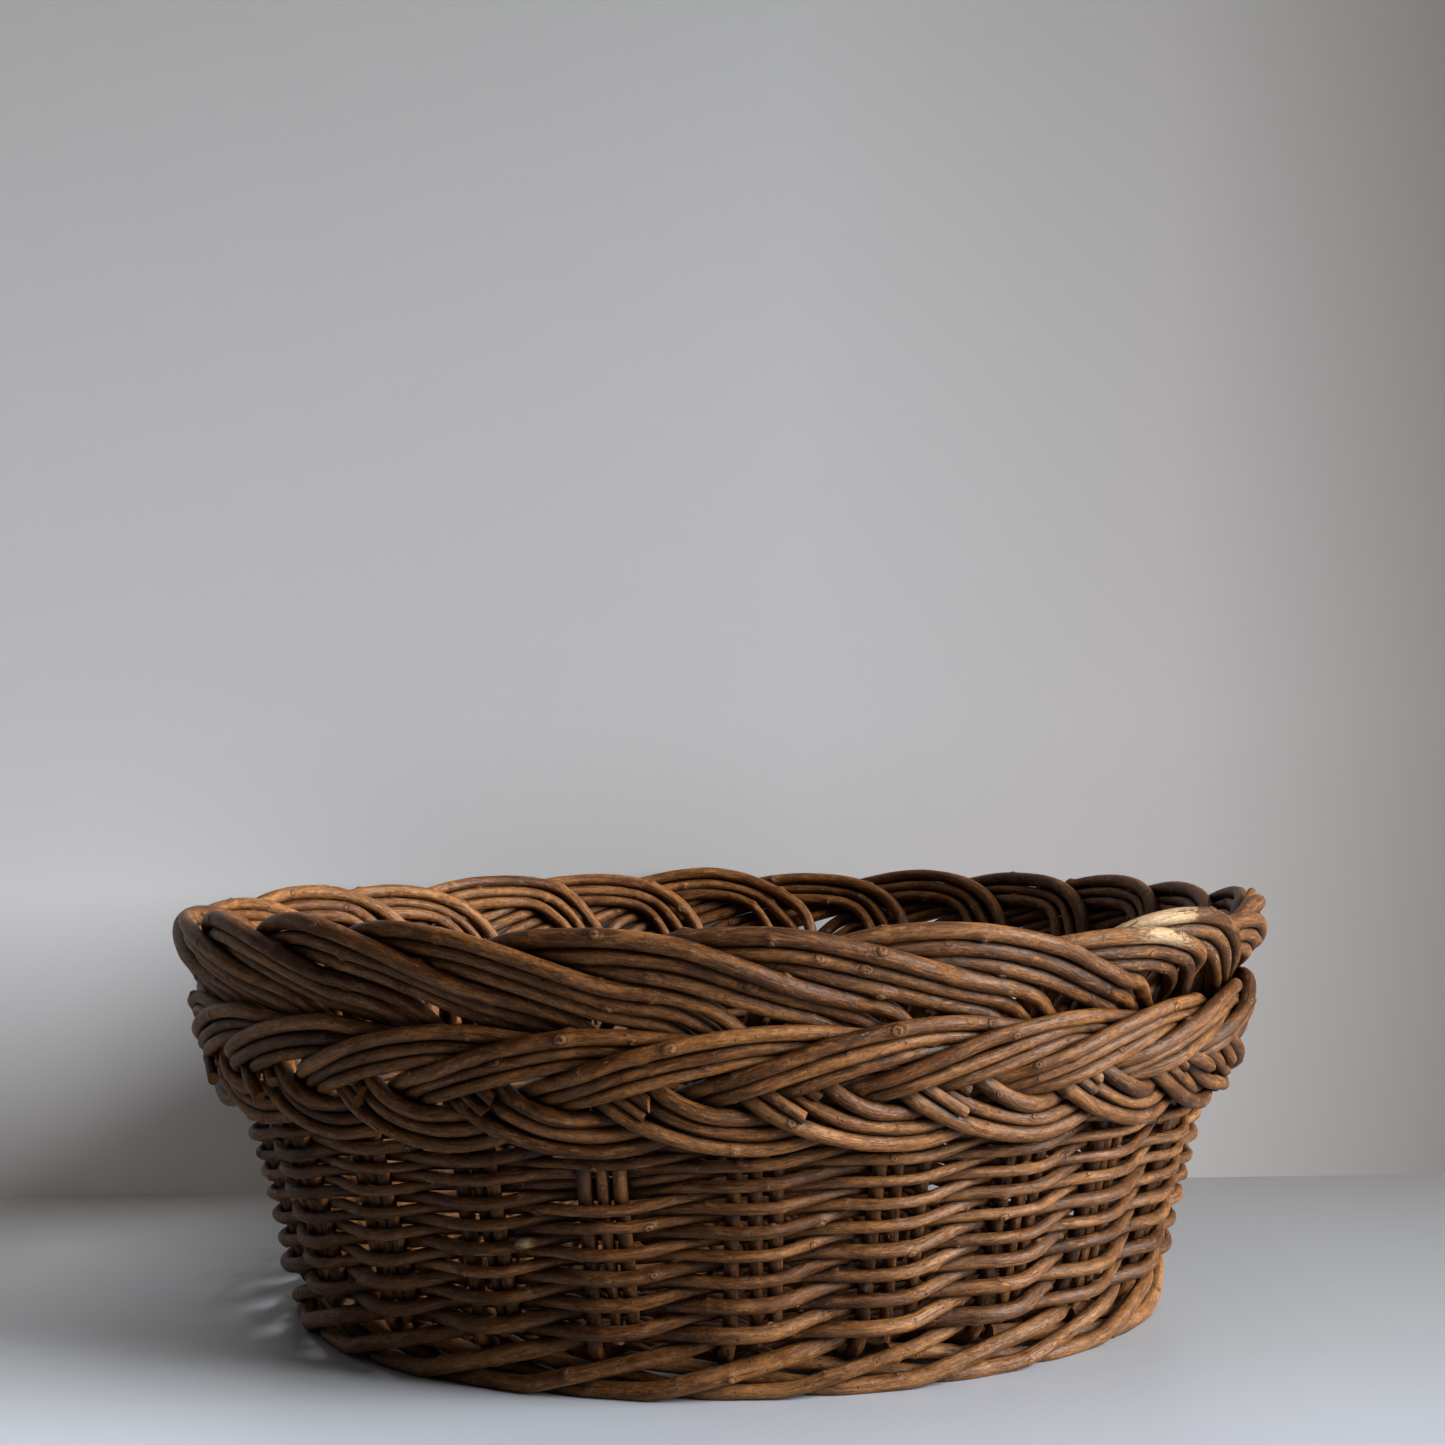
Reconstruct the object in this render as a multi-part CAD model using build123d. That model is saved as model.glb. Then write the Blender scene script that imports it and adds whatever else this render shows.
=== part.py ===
"""Round basket of unpeeled willow rods, with a plaited border.

Every rod is a solid of its own.  Angles run anticlockwise seen from above and
start at the front of the basket (-Y).  Lengths are in millimetres.
"""
from build123d import *
import math
import os
import numpy as np

# ---- layout of the whole basket -------------------------------------------
GROUPS = 24                      # groups of upright stakes, evenly spaced
STEP = 360.0 / GROUPS            # degrees from one group to the next
FIRST_GROUP = 3.0                # degrees from the front to the first group
STAKE_RADIUS_AT_FLOOR = 177.5    # centre of the stakes, measured from the axis
WALL_FLARE = 0.268               # growth of that radius for each mm of height

# ---- rod diameters ----------------------------------------------------------
MAIN_STAKE, LINER = 5.0, 4.2
SIDE_WEAVER = 3.8
BASE_STICK, BASE_WEAVER = 7.0, 3.6
CONTACT = {"main": 5.4, "middle": 4.5, "inner": 4.5, "weaver": 4.1}

# ---- wall weave --------------------------------------------------------------
ROWS = 9                         # rows that show in front of each stake group
FIRST_ROW, ROW_RISE, ROW_TIGHTEN = 25.0, 10.0, 0.18
WEAVE_SWING = 4.5                # rod centre in front of or behind the stakes

# ---- base --------------------------------------------------------------------
BASE_HEIGHT = 11.5
BASE_STICK_END = 170.0
STICKS_PER_BUNDLE = 6
STICK_PITCH = 7.3
BASE_SPOKE_LAG = 6.2             # degrees from each stake group back to its spoke
BASE_ROUNDS, ROUNDS_PER_NODE = 15, 3
BASE_WEAVE_START, BASE_WEAVE_PITCH = 50.0, 7.75
BASE_WEAVE_LIFT = 5.5

# Route of the three rods of one stake group: degrees past the group's own
# angle, height, and distance outwards from the stake layer.  Each rod goes up
# the wall, bends over the rim to the outside, dives behind the middle plait,
# runs along the bottom of the border and climbs again as the middle plait.
MAIN_ROUTE = [
    (-3.6, 11.5, -42), (-3.6, 11.5, -10), (-3.6, 13.5, -2), (-3.4, 20, 0), (-2.0, 80, 0),
    (-1.2, 125, -0.5), (-0.5, 146, -1), (1.2, 159, 0), (4.0, 165.5, 1.5), (8.0, 168.5, 3),
    (12.5, 169.5, 5), (18, 167.5, 7), (23, 163.5, 8.5), (29, 156.5, 9), (35, 149, 8),
    (40, 142, 6.5), (43.5, 135.5, 5.2), (46.5, 126.5, 5), (49.5, 116.5, 7), (53.2, 109, 10.5),
    (57.2, 104, 11), (62, 103.5, 9), (66, 107, 6), (69, 113, 8), (72.5, 118, 11),
    (77, 124, 12.5), (82, 129.5, 13), (87, 133, 12.5), (91, 134.5, 11.5), (94.5, 133.5, 9.5),
    (98, 131, 8.5),
]
MIDDLE_ROUTE = [
    (0.6, 20, 0), (0.3, 80, 0), (0.6, 122, -0.5), (1.2, 140, -1), (2.8, 151.5, 0),
    (5.8, 158.5, 1.5), (9.5, 162, 3), (14, 162.5, 5), (19, 160, 7), (24, 156, 8),
    (30, 149, 8), (36, 141.5, 6.5), (40, 136, 5.5), (43.3, 128, 5), (46.4, 117.5, 7),
    (50, 108.5, 10.5), (54, 102.5, 11.5), (60, 99.5, 11), (64.5, 102.5, 8.5), (68, 108, 6),
    (70.8, 113, 8.5), (74.5, 117, 11.5), (80, 123, 12.8), (85, 127, 12.5), (89, 129.3, 11),
    (93, 129.5, 9), (98.5, 128.5, 8.7), (102, 127, 8.8), (105, 123.5, 9), (107.9, 116.5, 10),
    (110.3, 110, 13),
]
INNER_ROUTE = [
    (2.4, 24, 0), (2.1, 80, 0), (2.4, 117, -0.5), (3.0, 134, -1), (4.6, 146, 0),
    (7.4, 152.5, 1.5), (11.3, 156, 3), (16, 156, 5.2), (21, 153, 7), (26, 148.5, 7),
    (31.5, 142, 6), (35.5, 136.5, 5), (39.3, 129, 4.8), (42.6, 119.5, 6.5), (46, 108.5, 10.5),
    (50, 100.5, 12), (55, 95.5, 12), (60, 95, 11.5), (65, 98.5, 8.5), (69.5, 105, 6),
    (73, 110.5, 8.5), (77, 114.5, 11.5), (82, 119.5, 12.5), (86.5, 123, 11), (90, 124, 9),
    (95, 124.5, 8.7), (99, 124.5, 8.8), (102, 122, 9), (104.8, 116.5, 10), (107.3, 110.5, 12.5),
    (109.3, 105, 14),
]
# Start of a side weaver in stake steps, height and side of the stakes
# (+1 outside, -1 inside): it comes out from under the base, passes outside
# two groups as the foot of the basket and tucks behind the third.
FOOT_ROUTE = [
    (-3.95, 7.5, -0.6), (-3.7, 4.0, 0.3), (-3.35, 1.6, 1.0), (-2.75, 1.6, 1.0), (-2.35, 7.0, 1.0),
    (-1.75, 15.5, 1.0), (-1.4, 19.5, 0.35), (-1.1, 20.5, -1.0), (-0.85, 21.5, -1.0), (-0.5, 24.5, 0.0),
]


def cylinder_point(angle, radius, height):
    """Point at an angle from the front of the basket."""
    turn = math.radians(angle - 90.0)
    return (radius * math.cos(turn), radius * math.sin(turn), height)


def stake_radius(height):
    return STAKE_RADIUS_AT_FLOOR + WALL_FLARE * height


def row_height(row):
    """Height of a row in front of a stake group; rows tighten upwards."""
    return FIRST_ROW + ROW_RISE * row - ROW_TIGHTEN * row * row


def border_points(route):
    return [cylinder_point(angle, stake_radius(z) + depth, z) for angle, z, depth in route]


def weaver_points():
    """One side weaver: the foot, then in front of one group and behind the next."""
    marks = list(FOOT_ROUTE)
    for row in range(ROWS):
        low = row_height(row)
        rise = row_height(row + 1) - low
        start = 2.0 * row
        marks += [(start - 0.13, low, 1.0), (start + 0.13, low + 0.03 * rise, 1.0)]
        marks += [(start + 0.5, low + 0.5 * rise, 0.0), (start + 0.87, low + 0.58 * rise, -1.0)]
        if row < ROWS - 1:
            marks += [(start + 1.13, low + 0.6 * rise, -1.0), (start + 1.5, low + 0.98 * rise, 0.0)]
    return [cylinder_point(step * STEP, stake_radius(z) + side * WEAVE_SWING, z) for step, z, side in marks]


def resample(points, spacing):
    """The same route with evenly spaced points."""
    points = np.array(points, float)
    along = np.concatenate([[0.0], np.cumsum(np.linalg.norm(np.diff(points, axis=0), axis=1))])
    count = int(along[-1] / spacing) + 1
    even = np.linspace(0.0, along[-1], count)
    return np.stack([np.interp(even, along, points[:, axis]) for axis in range(3)], axis=1)


def soften(points, passes):
    """Round the corners of a route without moving its ends."""
    points = points.copy()
    for _ in range(passes):
        points[1:-1] = 0.5 * points[1:-1] + 0.25 * (points[:-2] + points[2:])
    return points


def turned(points, steps):
    """Points carried round the axis by a number of stake steps."""
    angle = np.radians(steps * STEP)
    c, s = np.cos(angle), np.sin(angle)
    x = points[:, 0] * c - points[:, 1] * s
    y = points[:, 0] * s + points[:, 1] * c
    return np.stack([x, y, points[:, 2]], axis=1)


def near_pairs(points, rod_of, place, reach):
    """Pairs of points of one sector and of all its copies that come close."""
    first, second, steps = [], [], []
    for step in range(GROUPS):
        copy = turned(points, step)
        gap = ((points[:, None, :] - copy[None, :, :]) ** 2).sum(axis=2)
        i, j = np.nonzero(gap < reach ** 2)
        if step == 0:
            other = (rod_of[i] != rod_of[j]) | (np.abs(place[i] - place[j]) > 8)
            i, j = i[other], j[other]
        first.append(i)
        second.append(j)
        steps.append(np.full(len(i), step))
    return np.concatenate(first), np.concatenate(second), np.concatenate(steps)


def settle(rods, diameters, rounds=100, refresh=20):
    """Push the rods of one sector apart until they and their copies only touch."""
    start = [rod.copy() for rod in rods]
    rods = [rod.copy() for rod in rods]
    rod_of = np.concatenate([np.full(len(rod), n) for n, rod in enumerate(rods)])
    place = np.concatenate([np.arange(len(rod)) for rod in rods])
    thick = np.array(diameters)[rod_of]
    for count in range(rounds):
        points = np.concatenate(rods)
        if count % refresh == 0:
            first, second, steps = near_pairs(points, rod_of, place, 12.0)
        away = points[first] - turned(points[second], steps)
        gap = np.linalg.norm(away, axis=1) + 1e-9
        bite = np.maximum(0.0, (thick[first] + thick[second]) / 2 - gap)
        push = np.zeros_like(points)
        weight = np.zeros(len(points))
        np.add.at(push, first, away / gap[:, None] * (0.3 * bite ** 3)[:, None])
        np.add.at(weight, first, bite ** 2)
        push /= np.maximum(weight, 1e-9)[:, None]
        offset = 0
        for n, rod in enumerate(rods):
            shift = rod - start[n] + push[offset:offset + len(rod)]
            offset += len(rod)
            for _ in range(4):
                inner = 0.5 * shift[1:-1] + 0.25 * (shift[:-2] + shift[2:])
                shift = np.concatenate([[(shift[0] + shift[1]) / 2], inner, [(shift[-1] + shift[-2]) / 2]])
            rods[n] = start[n] + shift
    return rods


def thin_out(points, tolerance):
    """Keep only the points that a polyline needs to stay within the tolerance."""
    keep = [0, len(points) - 1]
    spans = [(0, len(points) - 1)]
    while spans:
        a, b = spans.pop()
        if b - a < 2:
            continue
        run = points[b] - points[a]
        inner = points[a + 1:b] - points[a]
        along = np.clip(inner @ run / (run @ run), 0.0, 1.0)
        miss = np.linalg.norm(inner - along[:, None] * run, axis=1)
        worst = int(np.argmax(miss))
        if miss[worst] > tolerance:
            middle = a + 1 + worst
            keep.append(middle)
            spans += [(a, middle), (middle, b)]
    return points[sorted(keep)]


def corner_radius(before, corner, after):
    """Largest comfortable arc at a corner, and the turn there in degrees."""
    run_in, run_out = Vector(*(corner - before)), Vector(*(after - corner))
    turn = run_in.get_angle(run_out)
    if turn < 0.05:
        return 0.0, turn
    shorter = min(run_in.length, run_out.length)
    return 0.45 * shorter / math.tan(math.radians(turn / 2)), turn


def rod_solid(points, diameter):
    """Round rod along straight runs joined by tangent arcs."""
    points = [np.array(point, float) for point in points]
    corners = [points[0]]
    for n in range(1, len(points) - 1):
        if corner_radius(corners[-1], points[n], points[n + 1])[1] > 1.0:
            corners.append(points[n])
    corners.append(points[-1])
    radii = [corner_radius(corners[n - 1], corners[n], corners[n + 1])[0] for n in range(1, len(corners) - 1)]
    path = FilletPolyline(*[tuple(corner) for corner in corners], radius=radii)
    profile = Plane(origin=path @ 0, z_dir=path % 0) * Circle(diameter / 2)
    return sweep(profile, path=path)


def save(name, solids):
    export_step(Compound(children=list(solids)), f"parts/{name}.step")


def side_and_border():
    """Stake groups with their border rods, and the side weavers."""
    routes = [border_points(route) for route in (MAIN_ROUTE, MIDDLE_ROUTE, INNER_ROUTE)]
    loose = [soften(resample(route, 2.5), 10) for route in routes]
    loose.append(soften(resample(weaver_points(), 3.0), 3))
    main, middle, inner, weaver = settle(loose, list(CONTACT.values()))
    group = [
        rod_solid(thin_out(main, 0.3), MAIN_STAKE),
        rod_solid(thin_out(middle, 0.3), LINER),
        rod_solid(thin_out(inner, 0.3), LINER),
    ]
    whole = rod_solid(thin_out(weaver, 0.3), SIDE_WEAVER)
    worn = split(whole, bisect_by=Plane.XY, keep=Keep.TOP)
    for number in range(GROUPS):
        place = Rot(0, 0, FIRST_GROUP + number * STEP)
        save(f"stake_group_{number + 1:02d}", [place * rod for rod in group])
        save(f"side_weaver_{number + 1:02d}", [place * worn])


def base_stick(number, lift):
    """Stick that is straight in its bundle and fans out to a spoke at each end."""
    row = number - (STICKS_PER_BUNDLE - 1) / 2
    fan = math.radians(row * STEP)
    bend = row * STICK_PITCH / math.sin(fan)
    half = [(BASE_STICK_END, 0.0), (62.0, 0.0), (bend, lift)]
    right = [(reach * math.cos(fan), reach * math.sin(fan), BASE_HEIGHT + rise) for reach, rise in half]
    left = [(-x, y, z) for x, y, z in reversed(right)]
    return rod_solid(right + left, BASE_STICK)


def base_weave_points(side, first_round):
    """Rod of the paired weave: over one spoke and under the next, twisting."""
    marks = []
    for crossing in range(ROUNDS_PER_NODE * GROUPS):
        above = 1 if (crossing + side) % 2 == 0 else -1
        for edge in (-1, 1):
            angle = (crossing + edge * 0.17) * STEP - BASE_SPOKE_LAG + 0.9
            turns = first_round + crossing / GROUPS
            radius = BASE_WEAVE_START + BASE_WEAVE_PITCH * turns + 1.9 * above * edge
            marks.append(cylinder_point(angle, radius, BASE_HEIGHT + above * BASE_WEAVE_LIFT))
    return marks


def base():
    """Two crossed bundles of sticks and the paired rods woven round them."""
    spoke_turn = FIRST_GROUP - BASE_SPOKE_LAG + STEP / 2
    for name, turn, lift in (("lower", 0.0, -3.7), ("upper", 90.0, 3.7)):
        place = Rot(0, 0, spoke_turn + turn)
        sticks = [place * base_stick(number, lift) for number in range(STICKS_PER_BUNDLE)]
        for pair in range(STICKS_PER_BUNDLE // 2):
            save(f"base_sticks_{name}_{pair + 1}", sticks[2 * pair:2 * pair + 2])
    place = Rot(0, 0, FIRST_GROUP)
    for node in range(BASE_ROUNDS // ROUNDS_PER_NODE):
        pair = [rod_solid(base_weave_points(side, node * ROUNDS_PER_NODE), BASE_WEAVER) for side in (0, 1)]
        save(f"base_weave_{node + 1}", [place * rod for rod in pair])


os.makedirs("parts", exist_ok=True)
side_and_border()
base()
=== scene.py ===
"""Looks of the round willow basket.

Every rod is built again with bark, knots, taper and cut ends, on the same routes as
the CAD model.  Routes are in millimetres.  Angles are in degrees and run
anticlockwise from the front (-Y) when seen from above.
"""
import math
import bpy
import numpy as np
from mathutils import Matrix, Vector
from mathutils.kdtree import KDTree


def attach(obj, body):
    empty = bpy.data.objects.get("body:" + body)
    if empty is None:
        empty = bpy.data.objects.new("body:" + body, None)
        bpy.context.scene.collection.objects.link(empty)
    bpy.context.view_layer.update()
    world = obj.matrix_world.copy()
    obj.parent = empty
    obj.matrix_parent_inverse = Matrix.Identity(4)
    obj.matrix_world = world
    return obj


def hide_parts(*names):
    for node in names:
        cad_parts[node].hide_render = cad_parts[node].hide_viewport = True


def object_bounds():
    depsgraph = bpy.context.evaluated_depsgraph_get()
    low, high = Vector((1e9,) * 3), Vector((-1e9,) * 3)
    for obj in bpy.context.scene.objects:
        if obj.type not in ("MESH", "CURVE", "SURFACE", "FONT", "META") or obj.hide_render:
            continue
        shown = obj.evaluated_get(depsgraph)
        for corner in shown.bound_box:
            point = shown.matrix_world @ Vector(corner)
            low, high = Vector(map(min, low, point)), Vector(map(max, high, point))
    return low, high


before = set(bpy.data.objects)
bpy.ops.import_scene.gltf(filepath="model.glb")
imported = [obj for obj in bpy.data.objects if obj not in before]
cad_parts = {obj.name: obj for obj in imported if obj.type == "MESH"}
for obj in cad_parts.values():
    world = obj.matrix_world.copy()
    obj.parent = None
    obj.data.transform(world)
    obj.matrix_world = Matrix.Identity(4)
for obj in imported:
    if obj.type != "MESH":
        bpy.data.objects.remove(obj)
cad_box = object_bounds()

MM = 0.001
SEED = 7

# Layout of the basket, as in the CAD model.
GROUPS = 24
STEP = 360.0 / GROUPS
FIRST_GROUP = 3.0
STAKE_RADIUS_AT_FLOOR = 177.5
WALL_FLARE = 0.268
ROWS = 9
FIRST_ROW, ROW_RISE, ROW_TIGHTEN = 25.0, 10.0, 0.18
WEAVE_SWING = 4.5
BASE_HEIGHT = 11.5
BASE_STICK_END, BASE_FAN_START = 170.0, 62.0
BASE_BUNDLE_LIFT = 3.7
STICKS_PER_BUNDLE, STICKS_PER_NODE = 6, 2
STICK_PITCH = 7.3
BASE_SPOKE_LAG = 6.2
BASE_ROUNDS, ROUNDS_PER_NODE = 15, 3
BASE_WEAVE_START, BASE_WEAVE_PITCH = 50.0, 8.05
BASE_WEAVE_LIFT, BASE_WEAVE_SWING = 5.5, 1.9
BASE_WEAVE_LAG, BASE_CROSSING_HALF = 0.9, 0.17
FLOOR_CLEARANCE = 0.05

# Routes: (degrees past the group's own angle, height, distance outside the wall line).
MAIN_ROUTE = [
    (-3.6, 11.5, -42), (-3.6, 11.5, -10), (-3.6, 13.5, -2), (-3.4, 20, 0), (-2.0, 80, 0),
    (-1.2, 122, -0.5), (-0.4, 140, -1), (1.4, 151, -0.5), (4.3, 159, 0.8), (8, 164.2, 2.4),
    (12, 166.4, 4.2), (16, 166.6, 6), (20, 165.2, 7.6), (24.5, 161.8, 8.6), (29.5, 156.2, 9),
    (35, 149, 8), (40, 142, 6.5), (43.5, 135.5, 5.2), (46.5, 126.5, 5), (49.5, 116.5, 7),
    (53.2, 109, 10.5), (57.2, 104, 11), (62, 103.5, 9), (66, 107, 6), (69, 113, 8),
    (72.5, 118, 11), (77, 124, 12.5), (82, 129.5, 13), (87, 133, 12.5), (91, 134.5, 11.5),
    (94.5, 133.5, 9.5), (98, 130.5, 8.0), (101.5, 127.5, 6.5),
]
MIDDLE_ROUTE = [
    (0.6, 20, 0), (0.3, 80, 0), (0.6, 118, -0.5), (1.4, 134, -1), (3.4, 145.5, -0.3),
    (6.6, 154, 1.2), (10.5, 159.4, 3), (14.5, 160.6, 5), (19, 159.7, 6.8), (24, 156.2, 8),
    (30, 149.4, 8), (36, 141.4, 6.5), (40, 135.5, 5.5), (43.3, 128, 5), (46.4, 117.5, 7),
    (50, 108.5, 10.5), (54, 102.5, 11.5), (60, 99.5, 11), (64.5, 102.5, 8.5), (68, 108, 6),
    (70.8, 113, 8.5), (74.5, 117, 11.5), (80, 123, 12.8), (85, 127, 12.5), (89, 129.3, 11),
    (93, 129.5, 9), (98.5, 128.5, 8.7), (102, 127, 8.8), (105, 123.5, 9), (107.9, 116.5, 10),
    (110.3, 110, 13),
]
INNER_ROUTE = [
    (2.4, 24, 0), (2.1, 80, 0), (2.4, 113, -0.5), (3.2, 128, -1), (5.2, 140, -0.3),
    (8.2, 149, 1.3), (12.2, 154.2, 3), (16.5, 154.8, 5), (21, 153.2, 6.8), (26, 148.3, 7),
    (31.5, 141.4, 6), (35.5, 136.2, 5), (39.3, 129.5, 4.8), (42.6, 119.5, 6.5), (46, 108.5, 10.5),
    (50, 100.5, 12), (55, 95.5, 12), (60, 95, 11.5), (65, 98.5, 8.5), (69.5, 105, 6),
    (73, 110.5, 8.5), (77, 114.5, 11.5), (82, 119.5, 12.5), (86.5, 123, 11), (90, 124, 9),
    (95, 124.5, 8.7), (99, 124.5, 8.8), (102, 122, 9), (104.8, 116.5, 10), (107.3, 110.5, 12.5),
    (109.3, 105, 14),
]
# The foot round: (groups past the weaver's own, height, side of the stakes).
FOOT_ROUTE = [
    (-4.95, 13.0, -1.0), (-4.45, 11.0, -1.0), (-3.95, 8.0, -0.6), (-3.7, 5.0, 0.3),
    (-3.35, 2.9, 1.0), (-2.75, 2.9, 1.0), (-2.35, 8.0, 1.0), (-1.75, 15.5, 1.0),
    (-1.4, 19.5, 0.35), (-1.1, 20.5, -1.0), (-0.85, 21.5, -1.0), (-0.5, 24.5, 0.0),
]
# A loose tip that stands up behind one group.
TIP_GROUP, TIP_ANGLE = 6, 86.0
TIP_ROUTE = [(-10.0, 153.0, -1.0), (-6.0, 159.5, 1.0), (-3.0, 164.0, 3.0), (-1.0, 168.0, 5.0)]
TIP_WIDTHS = (4.8, 4.0)

# Thickness of the rods from the thick end to the tip, at shares of their length.
STAKE_WIDTH_AT = [0.0, 0.22, 0.32, 0.5, 0.7, 1.0]
MAIN_WIDTHS = [5.4, 5.7, 6.4, 6.3, 6.0, 5.3]
LINER_WIDTHS = [4.8, 4.9, 5.9, 6.1, 5.2, 4.6]
WEAVER_WIDTH_AT = [0.0, 0.16, 0.24, 0.5, 1.0]
WEAVER_WIDTHS = [6.4, 6.3, 5.4, 4.7, 4.1]
BASE_STICK_WIDTH, BASE_WEAVE_WIDTH = 7.0, 3.7
STAKE_KINDS = (
    ("main", MAIN_ROUTE, MAIN_WIDTHS),
    ("middle", MIDDLE_ROUTE, LINER_WIDTHS),
    ("inner", INNER_ROUTE, LINER_WIDTHS),
)
POINT_STEP, BASE_POINT_STEP, TIP_POINT_STEP = 3.0, 2.5, 2.0
RING_STEP, BASE_RING_STEP = 0.8, 1.5
MAIN_SIDES, ROD_SIDES = 16, 14

# How single groups stray from the regular routes: degrees at the rim, degrees in
# the wall, millimetres of lift at the rim, and degrees where a bend is sharper.
RIM_STRAY = {21: -1.5, 22: -0.5, 23: -0.7, 0: 1.3, 1: 3.6, 2: 1.5}
WALL_STRAY = {22: 0.0, 23: -1.1, 0: -0.4, 1: -0.6, 2: 0.0, 3: -2.3}
RIM_LIFT = {20: 2.5, 21: 3.0, 22: 0.0, 23: 0.3, 0: 0.2, 1: -5.8, 2: 1.2, 3: -5.5}
BEND_ANGLES = [20.0, 28.0, 35.0, 40.0, 43.5, 49.5, 57.0]
SHARP_BENDS = {
    1: [0.0, 0.0, -2.5, -7.0, -9.5, -6.0, 0.0],
    2: [0.0, -4.0, -6.5, -8.0, -8.0, -5.0, 0.0],
}
LATER_STRAY, RIM_LIFT_MEAN, RIM_LIFT_SPREAD, GROUP_STRAY = 0.8, -0.3, 1.0, 0.7
SLIM_HEIGHTS, SLIM_SCALES = [0.0, 60.0, 135.0, 160.0], [0.985, 0.987, 0.988, 1.0]
SWAY_KNOTS, SWAY_OUT, SWAY_UP, SWAY_OWN = 16, 0.6, 0.8, 0.35
WEAVER_SWAY = 0.9

# Where one weaver runs behind the stakes it should cross.
GAP_GROUP, GAP_ROW = 23, 6

# Outstanding knots: (angle, height, distance outside the wall line, size).
LARGE_KNOTS = [
    (2.5, 150.0, 11.0, 1.35), (-5.0, 132.0, 14.0, 1.3), (15.0, 135.0, 14.0, 1.25),
    (-14.0, 135.0, 14.0, 1.2), (12.0, 155.0, 11.0, 1.2), (-30.0, 148.0, 11.0, 1.2),
    (-21.0, 52.0, 6.0, 2.1),
]
BROKEN_KNOT = 1.9
KNOT_REACH = 3.0
KNOT_BUMP, KNOT_BUMP_LENGTH, KNOT_BUMP_TURN = 1.2, 2.4, 0.55
NODE_BUMP, NODE_BUMP_LENGTH = 0.10, 2.2
FIRST_BUD, BUD_GAPS, BUD_END_MARGIN = 4.0, (14.0, 40.0), 3.0
BUD_TURN, BUD_TURN_STRAY = 2.4, 0.4
BUD_SMALLEST, BUD_SPREAD, BUD_RARITY = 0.35, 0.75, 1.6

# Unevenness of a rod: oval and lobed section, drift of its thickness, tilt of its cuts.
OVAL, LOBES, LOBE_TWIST = 0.02, 0.012, 0.05
THICKNESS_DRIFT, THICKNESS_WAVE = 0.025, 22.0
CUT_SLANT = (0.1, 0.8)
TEXTURE_OFFSET = 4000
STAKE_SCALE, WEAVER_SCALE = (0.94, 1.08), (0.86, 1.14)

# Bark rubbed off: amount and angle by group, where it isn't left to chance.
RUB_AMOUNT = {2: 1.15, 1: 1.0, 23: 0.4}
RUB_ANGLE, RUB_ANGLES, RUB_SPREAD, RUB_HEIGHT = 12.0, {1: 26.0}, 7.0, 140.0
RUBBED_LINERS, LINER_RUB, LINER_RUB_HEIGHT = (1, 2), 0.60, 148.0
GAP_RUB, GAP_MARGIN = 0.46, 2.0

# Contact between rods: search range, and how far and wide a neighbour casts painted shade (darker bark) onto
# a rod.
PAIR_RANGE, PAIR_SKIP = 8.0, 8
PUSH_SHARE, SETTLE_ROUNDS, SETTLE_AGAIN = 0.3, 45, 15
# Strands of the upper border are drawn together over these angles, up to these limits.
MAIN_HOLD, MIDDLE_HOLD, INNER_HOLD = [27.0, 34.0, 42.0, 46.0], [4.0, 8.0, 37.0, 42.0], [5.0, 9.0, 37.0, 42.0]
MAIN_DRAW, LINER_DRAW, DRAW_CLEARANCE, DRAW_FLOOR = 2.2, 4.5, 0.1, 120.0
CONTACT_REACH, CONTACT_BINS, CONTACT_SPREAD = 2.6, 16, 0.72


# ---- points and routes --------------------------------------------------------
def cylinder_points(marks):
    """Points from rows of angle, radius and height."""
    marks = np.array(marks, float)
    turn = np.radians(marks[:, 0] - 90.0)
    return np.stack([marks[:, 1] * np.cos(turn), marks[:, 1] * np.sin(turn), marks[:, 2]], axis=1)


def stake_radius(height):
    return STAKE_RADIUS_AT_FLOOR + WALL_FLARE * height


def row_height(row):
    return FIRST_ROW + ROW_RISE * row - ROW_TIGHTEN * row * row


def border_marks(route, turn):
    return [(turn + angle, stake_radius(z) + depth, z) for angle, z, depth in route]


def weaver_marks(number):
    """Foot round and wall rows of one weaver; each row climbs over two groups."""
    turn = FIRST_GROUP + number * STEP
    marks = list(FOOT_ROUTE)
    for row in range(ROWS):
        low = row_height(row)
        rise = row_height(row + 1) - low
        start = 2.0 * row
        missed = (number + 2 * row) % GROUPS == GAP_GROUP and row == GAP_ROW
        front = -1.0 if missed else 1.0
        marks += [(start - 0.13, low, front), (start + 0.13, low + 0.03 * rise, front)]
        marks += [(start + 0.5, low + 0.5 * rise, 0.0), (start + 0.87, low + 0.58 * rise, -1.0)]
        if row < ROWS - 1:
            marks += [(start + 1.13, low + 0.6 * rise, -1.0), (start + 1.5, low + 0.98 * rise, 0.0)]
    return [(turn + step * STEP, stake_radius(z) + side * WEAVE_SWING, z) for step, z, side in marks]


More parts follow.
